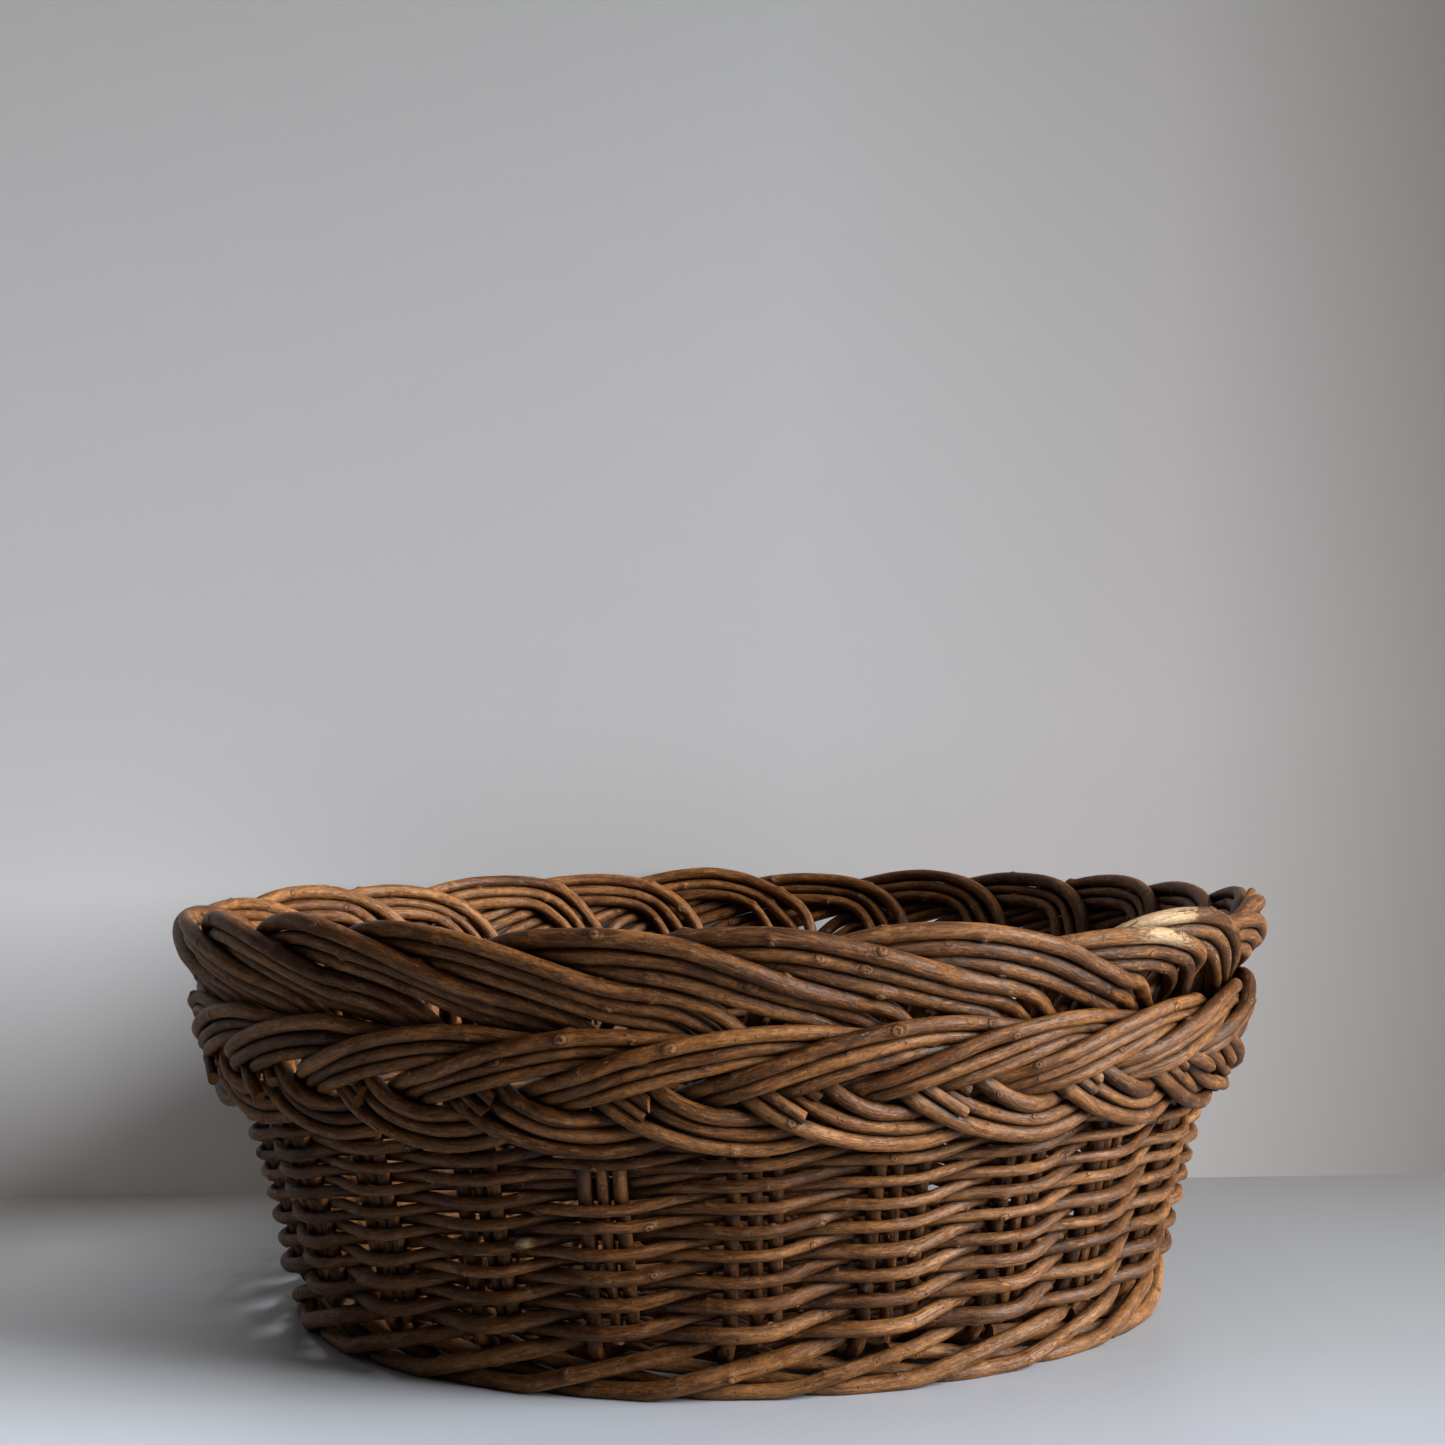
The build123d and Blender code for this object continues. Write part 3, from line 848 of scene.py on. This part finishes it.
def base_sticks():
    """Two crossed bundles of sticks that fan out to the wall, as (node, width, points)."""
    found = []
    spoke_turn = math.radians(FIRST_GROUP - BASE_SPOKE_LAG + STEP / 2)
    bundles = (("lower", 0.0, -BASE_BUNDLE_LIFT), ("upper", math.pi / 2, BASE_BUNDLE_LIFT))
    for name, quarter, lift in bundles:
        turn = spoke_turn + quarter
        c, s = math.cos(turn), math.sin(turn)
        for number in range(STICKS_PER_BUNDLE):
            row = number - (STICKS_PER_BUNDLE - 1) / 2
            fan = math.radians(row * STEP)
            bend = row * STICK_PITCH / math.sin(fan)
            reaches = ((BASE_STICK_END, 0.0), (BASE_FAN_START, 0.0), (bend, lift))
            right = [(r * math.cos(fan), r * math.sin(fan), BASE_HEIGHT + rise) for r, rise in reaches]
            left = [(-x, y, z) for x, y, z in reversed(right)]
            x, y, z = soften(resample(np.array(right + left), POINT_STEP), 4).T
            points = np.stack([x * c - y * s, x * s + y * c, z], axis=1)
            node = f"base_sticks_{name}_{number // STICKS_PER_NODE + 1}"
            found.append((node, BASE_STICK_WIDTH, slimmed(points)))
    return found


def base_weave():
    """Pairs of strands that spiral out over and under the sticks, as (node, width, points)."""
    found = []
    for node in range(BASE_ROUNDS // ROUNDS_PER_NODE):
        for side in (0, 1):
            marks = []
            for crossing in range(ROUNDS_PER_NODE * GROUPS):
                above = 1 if (crossing + side) % 2 == 0 else -1
                turns = node * ROUNDS_PER_NODE + crossing / GROUPS
                middle = BASE_WEAVE_START + BASE_WEAVE_PITCH * turns
                for edge in (-1, 1):
                    steps = crossing + edge * BASE_CROSSING_HALF
                    angle = FIRST_GROUP + steps * STEP - BASE_SPOKE_LAG + BASE_WEAVE_LAG
                    radius = middle + BASE_WEAVE_SWING * above * edge
                    marks.append((angle, radius, BASE_HEIGHT + above * BASE_WEAVE_LIFT))
            points = soften(resample(cylinder_points(marks), BASE_POINT_STEP), 2)
            found.append((f"base_weave_{node + 1}", BASE_WEAVE_WIDTH, slimmed(points)))
    return found


def find_large_knots(rods):
    """Outstanding knots on the outer face: rod number -> [(distance along, direction, size)]."""
    found = {}
    for angle, height, reach, size in LARGE_KNOTS:
        outward = cylinder_points([(angle, 1.0, 0.0)])[0]
        place = cylinder_points([(angle, stake_radius(height) + reach, height)])[0]
        nearest = min(range(len(rods)), key=lambda n: np.linalg.norm(rods[n] - place, axis=1).min())
        points = rods[nearest]
        at = int(np.argmin(np.linalg.norm(points - place, axis=1)))
        _, side, up = frames(points)
        direction = math.atan2(outward @ up[at], outward @ side[at])
        found.setdefault(nearest, []).append((path_lengths(points)[at], direction, size))
    return found


def rubbed(kind, number, points, rng):
    """How far the bark is rubbed off at every point of a stake or liner."""
    height = points[:, 2]
    worn = np.zeros(len(points))
    if kind == "main":
        amount = RUB_AMOUNT.get(number, rng.uniform(0.0, 0.3))
        off = angle_past_group(points, number) - RUB_ANGLES.get(number, RUB_ANGLE)
        worn = amount * np.exp(-(off / RUB_SPREAD) ** 2) * (height > RUB_HEIGHT)
    elif number in RUBBED_LINERS:
        worn = LINER_RUB * (height > LINER_RUB_HEIGHT)
    if number == GAP_GROUP:
        low, high = row_height(GAP_ROW - 1) + GAP_MARGIN, row_height(GAP_ROW + 1) - GAP_MARGIN
        rising = np.arange(len(points)) < len(points) / 3
        worn = np.maximum(worn, GAP_RUB * ((height > low) & (height < high) & rising))
    return worn


def add_side_and_border(rng, border_bark, wall_bark):
    """One piece for every group of stakes and one for every weaver of the wall."""
    rods, thick, owner = side_and_border()
    large_knots = find_large_knots(rods)
    contacts = contact_maps(rods, thick)
    for number in range(GROUPS):
        meshes = []
        for n, (kind, group) in enumerate(owner):
            if kind == "weaver" or group != number:
                continue
            meshes.append(rod_mesh(
                rods[n], thick[n], rng, sides=MAIN_SIDES if kind == "main" else ROD_SIDES,
                worn=rubbed(kind, number, rods[n], rng), contact=contacts[n],
                extra=large_knots.get(n, [])))
        if number == TIP_GROUP:
            tip = soften(resample(cylinder_points(border_marks(TIP_ROUTE, TIP_ANGLE)), TIP_POINT_STEP), 3)
            meshes.append(rod_mesh(tip, np.linspace(*TIP_WIDTHS, len(tip)), rng))
        label = f"{number + 1:02d}"
        build_piece(f"willow_stakes_{label}", f"stake_group_{label}", border_bark, meshes)
    for number in range(GROUPS):
        n = owner.index(("weaver", number))
        # Painted light: below 14 mm every weaver gets the lighter tone 0.95, standing in for light bounced
        # up from the table; above 24 mm each keeps its own random tone.
        tone = np.interp(rods[n][:, 2], [14.0, 24.0], [0.95, rng.uniform(0.0, 1.0)])
        mesh = rod_mesh(rods[n], thick[n], rng, tone=tone, contact=contacts[n], extra=large_knots.get(n, []))
        label = f"{number + 1:02d}"
        build_piece(f"willow_weaver_{label}", f"side_weaver_{label}", wall_bark, [mesh])


def add_base(rng, bark):
    """One piece for every pair of base sticks and every stretch of base weave."""
    base = base_sticks() + base_weave()
    points = [rod for _, _, rod in base]
    thick = [np.full(len(rod), width) for _, width, rod in base]
    contacts = contact_maps(points, thick)
    for node in sorted({name for name, _, _ in base}):
        members = [n for n, (name, _, _) in enumerate(base) if name == node]
        meshes = []
        for n in members:
            meshes.append(rod_mesh(points[n], thick[n], rng, ring=BASE_RING_STEP, contact=contacts[n]))
        build_piece("willow_" + node, node, bark, meshes)


# ---- stage, light and camera -----------------------------------------------------
ROOM, WALL_HEIGHT, WALL_GAP = 6.0, 4.0, 0.0083
WALL_Y = cad_box[1][1] + WALL_GAP
RAMP_SIDE = 0.45

# Paint: colour, roughness, drifts of brightness that are painted light and shade (axis, from, to,
# [(place, red, green, blue), ...]) and a brighter glow of painted light (centre, radius, gain).
FLOOR_COLOUR, FLOOR_ROUGHNESS = (0.56, 0.574, 0.609), 0.42
# Painted light on the floor: brighter and bluer at the front, darker towards the backdrop.
FLOOR_PAINTED_LIGHT = [
    ("Y", -0.3, WALL_Y, [
        (0.0, 0.857, 0.921, 1.0), (0.167, 0.771, 0.825, 0.886), (0.34, 0.654, 0.693, 0.721),
        (0.685, 0.493, 0.511, 0.518), (1.0, 0.357, 0.355, 0.348)]),
]
# Painted light: a glow at the left lifts the basket's shadow on the floor.
FLOOR_PAINTED_GLOW = ((-0.32, 0.11, 0.0), 0.49, 2.8)
BACKDROP_COLOUR, BACKDROP_ROUGHNESS = (0.4345, 0.44, 0.459), 0.85
# Painted shade on the backdrop: darker towards the top, and a darker, browner painted shadow towards the
# right edge.
BACKDROP_PAINTED_SHADE = [
    ("Z", 0.25, 0.65, [(0.0, 1.0, 1.0, 1.0), (1.0, 0.68, 0.68, 0.66)]),
    ("X", -RAMP_SIDE, RAMP_SIDE, [
        (0.0, 0.99, 0.995, 1.0), (0.55, 0.945, 0.955, 0.965), (0.78, 0.765, 0.745, 0.735),
        (1.0, 0.325, 0.305, 0.28)]),
]
# Painted light: a glow at the lower left lifts the basket's shadow on the backdrop.
BACKDROP_PAINTED_GLOW = ((-0.34, WALL_Y, 0.0), 0.30, 2.0)

# Lights: (name, place, target, size, power, colour).
LIGHTS = [
    ("window", (7.2, -2.7, 3.0), (0.0, 0.0, 0.1), (4.6, 5.6), 1760.0, (1.0, 0.985, 0.97)),
    ("ceiling", (0.3, -0.4, 3.0), (0.0, 0.1, 0.0), (2.4, 1.6), 13.0, (1.0, 0.90, 0.78)),
]
ROOM_COLOUR, ROOM_STRENGTH = (1.0, 0.77, 0.56, 1.0), 0.075
CAMERA_PLACE, CAMERA_LENS, SENSOR_WIDTH = (0.0, -0.98, 0.2203), 55.92, 36.0
CAMERA_TILT, CAMERA_TURN, CAMERA_ROLL = 91.41, -0.1, -0.9


def painted_glow(paint, position, glow):
    """Gain that rises from one at the edge of a ball to its full value in the middle; a glow of painted
    light.
    """
    centre, radius, gain = glow
    shift = paint.vector("SUBTRACT", position, centre).outputs[0]
    shrink = paint.vector("SCALE", shift)
    shrink.inputs["Scale"].default_value = 1.0 / radius
    ball = paint.add("ShaderNodeTexGradient")
    ball.gradient_type = "QUADRATIC_SPHERE"
    paint.link(shrink.outputs[0], ball.inputs[0])
    return paint.mapped(ball.outputs["Fac"], to_min=1.0, to_max=gain)


def clear_from_behind(paint):
    """Let the far side of the paint be seen through."""
    clear = paint.add("ShaderNodeBsdfTransparent")
    choose = paint.add("ShaderNodeMixShader")
    facing = paint.add("ShaderNodeNewGeometry")
    output = paint.tree.nodes["Material Output"]
    paint.link(facing.outputs["Backfacing"], choose.inputs[0])
    paint.link(paint.shader.outputs[0], choose.inputs[1])
    paint.link(clear.outputs[0], choose.inputs[2])
    paint.link(choose.outputs[0], output.inputs["Surface"])


def room_paint(name, colour, roughness, drifts, glow):
    """Matt paint with painted light and shade: its brightness drifts across the room."""
    paint = Shading(name)
    paint.shader.inputs["Roughness"].default_value = roughness
    position = paint.add("ShaderNodeNewGeometry").outputs["Position"]
    split = paint.add("ShaderNodeSeparateXYZ")
    paint.link(position, split.inputs[0])
    result = colour
    for axis, low, high, stops in drifts:
        place = paint.stretched(split.outputs[axis], low, high)
        shade = paint.ramp(place, [(at, tuple(factor)) for at, *factor in stops])
        result = paint.vector("MULTIPLY", result, shade).outputs[0]
    result = paint.vector("MULTIPLY", result, painted_glow(paint, position, glow)).outputs[0]
    paint.link(result, paint.shader.inputs["Base Color"])
    return paint


def plane(name, corners, material):
    mesh = bpy.data.meshes.new(name)
    mesh.from_pydata(corners, [], [(0, 1, 2, 3)])
    mesh.materials.append(material)
    obj = bpy.data.objects.new(name, mesh)
    bpy.context.scene.collection.objects.link(obj)


def add_stage():
    """Pale floor, and a backdrop close behind the basket."""
    floor = room_paint("floor_paint", FLOOR_COLOUR, FLOOR_ROUGHNESS, FLOOR_PAINTED_LIGHT, FLOOR_PAINTED_GLOW)
    wall = room_paint("backdrop_paint", BACKDROP_COLOUR, BACKDROP_ROUGHNESS, BACKDROP_PAINTED_SHADE, BACKDROP_PAINTED_GLOW)
    clear_from_behind(wall)
    plane("floor", [(-ROOM, -ROOM, 0), (ROOM, -ROOM, 0), (ROOM, ROOM, 0), (-ROOM, ROOM, 0)], floor.material)
    foot = [(-ROOM, WALL_Y, 0), (ROOM, WALL_Y, 0)]
    head = [(ROOM, WALL_Y, WALL_HEIGHT), (-ROOM, WALL_Y, WALL_HEIGHT)]
    plane("backdrop", foot + head, wall.material)


def area_light(name, location, target, size, power, colour):
    data = bpy.data.lights.new(name, "AREA")
    data.shape = "RECTANGLE"
    data.size, data.size_y = size
    data.energy = power
    data.color = colour
    light = bpy.data.objects.new(name, data)
    light.location = location
    light.rotation_euler = (Vector(target) - Vector(location)).to_track_quat("-Z", "Y").to_euler()
    bpy.context.scene.collection.objects.link(light)


def add_light():
    for settings in LIGHTS:
        area_light(*settings)
    world = bpy.data.worlds.new("room")
    world.use_nodes = True
    background = world.node_tree.nodes["Background"]
    background.inputs["Color"].default_value = ROOM_COLOUR
    background.inputs["Strength"].default_value = ROOM_STRENGTH
    bpy.context.scene.world = world


def add_camera():
    data = bpy.data.cameras.new("camera")
    data.sensor_width = SENSOR_WIDTH
    data.lens = CAMERA_LENS
    camera = bpy.data.objects.new("camera", data)
    turn = Matrix.Rotation(math.radians(CAMERA_TURN), 4, "Z")
    tilt = Matrix.Rotation(math.radians(CAMERA_TILT), 4, "X")
    roll = Matrix.Rotation(math.radians(CAMERA_ROLL), 4, "Z")
    camera.matrix_world = Matrix.Translation(CAMERA_PLACE) @ turn @ tilt @ roll
    bpy.context.scene.collection.objects.link(camera)
    bpy.context.scene.camera = camera


border_bark = bark_material("border_bark", BORDER_SHADES)
wall_bark = bark_material("wall_bark", WALL_SHADES)
rng = np.random.RandomState(SEED + 1)
add_side_and_border(rng, border_bark, wall_bark)
add_base(rng, wall_bark)
add_stage()
add_light()
add_camera()
bpy.context.scene.view_settings.view_transform = "Standard"
bpy.context.scene.view_settings.look = "Medium High Contrast"
